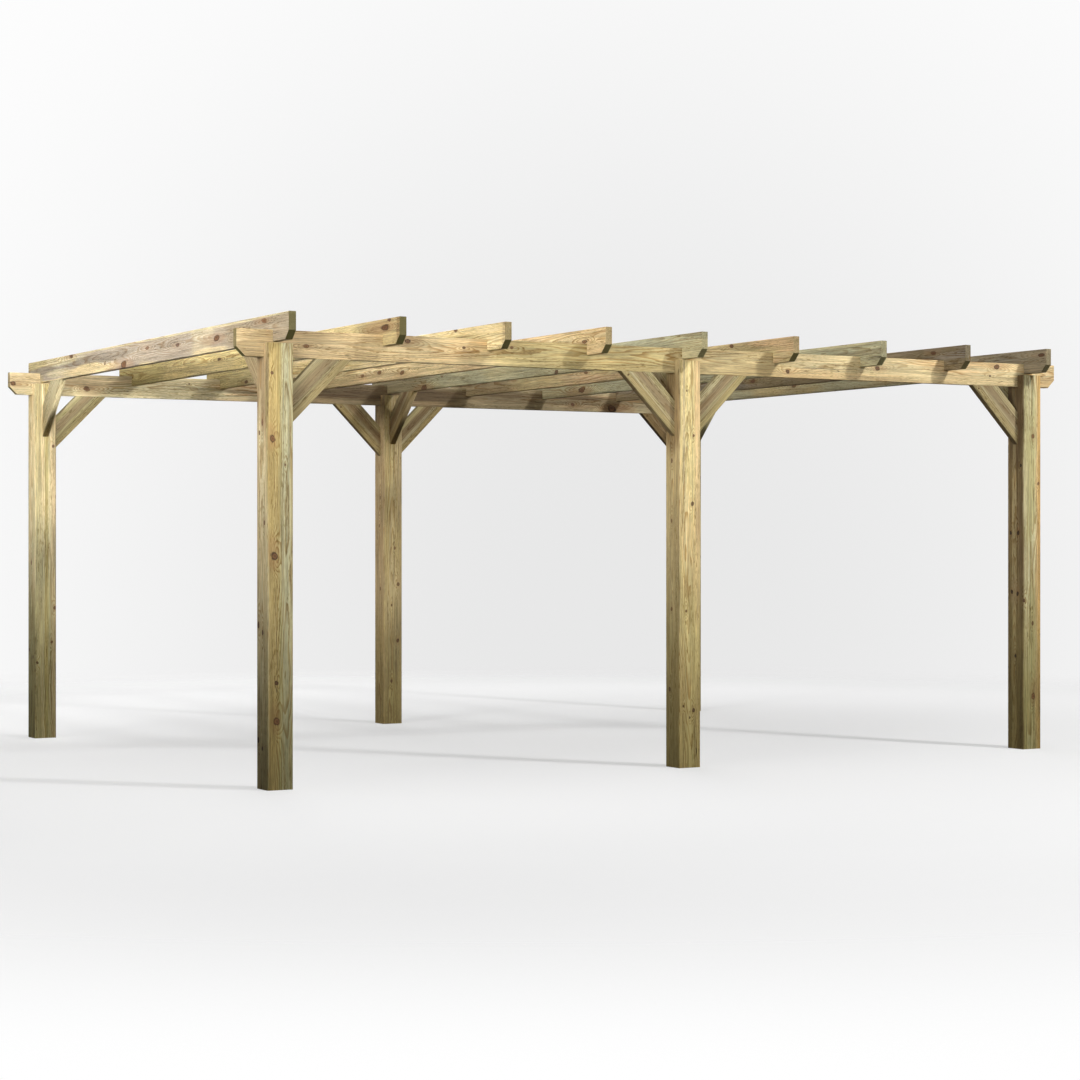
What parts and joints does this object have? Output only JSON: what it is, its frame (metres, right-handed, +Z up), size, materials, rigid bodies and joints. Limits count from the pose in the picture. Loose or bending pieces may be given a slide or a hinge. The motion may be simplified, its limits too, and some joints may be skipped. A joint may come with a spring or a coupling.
{
  "type": "wooden garden pergola",
  "caption": "Free-standing open timber pergola with forked posts, two long beams, rafters notched across them and straight corner braces.",
  "frame": {"origin": "on the ground, at the centre of the footprint", "axes": "+X along the two beams, +Y along the rafters from the front row of posts to the back row, +Z up"},
  "size_m": [5.4, 4.2, 2.425],
  "materials": {
    "post_timber": "planed pressure-treated pine, matt, yellow-green sapwood and brown heartwood, darker at the feet",
    "beam_timber": "planed pressure-treated pine, matt, cream to olive-yellow with knots",
    "rafter_timber": "planed pressure-treated pine, matt, each board from grey-green to brown, with knots",
    "brace_timber": "planed pressure-treated pine, matt, pale green-yellow edges around a brown heartwood stripe"
  },
  "bodies": {
    "root": {"post_front_left": "post_timber", "post_front_middle": "post_timber", "post_front_right": "post_timber", "post_back_left": "post_timber", "post_back_middle": "post_timber", "post_back_right": "post_timber", "beam_front": "beam_timber", "beam_back": "beam_timber", "rafter_1": "rafter_timber", "rafter_2": "rafter_timber", "rafter_3": "rafter_timber", "rafter_4": "rafter_timber", "rafter_5": "rafter_timber", "rafter_6": "rafter_timber", "rafter_7": "rafter_timber", "rafter_8": "rafter_timber", "rafter_9": "rafter_timber", "brace_front_left": "brace_timber", "brace_front_middle_left": "brace_timber", "brace_front_middle_right": "brace_timber", "brace_front_right": "brace_timber", "brace_back_left": "brace_timber", "brace_back_middle_left": "brace_timber", "brace_back_middle_right": "brace_timber", "brace_back_right": "brace_timber", "cross_brace_front_left": "brace_timber", "cross_brace_front_middle": "brace_timber", "cross_brace_front_right": "brace_timber", "cross_brace_back_left": "brace_timber", "cross_brace_back_middle": "brace_timber", "cross_brace_back_right": "brace_timber"}
  },
  "joints": []
}
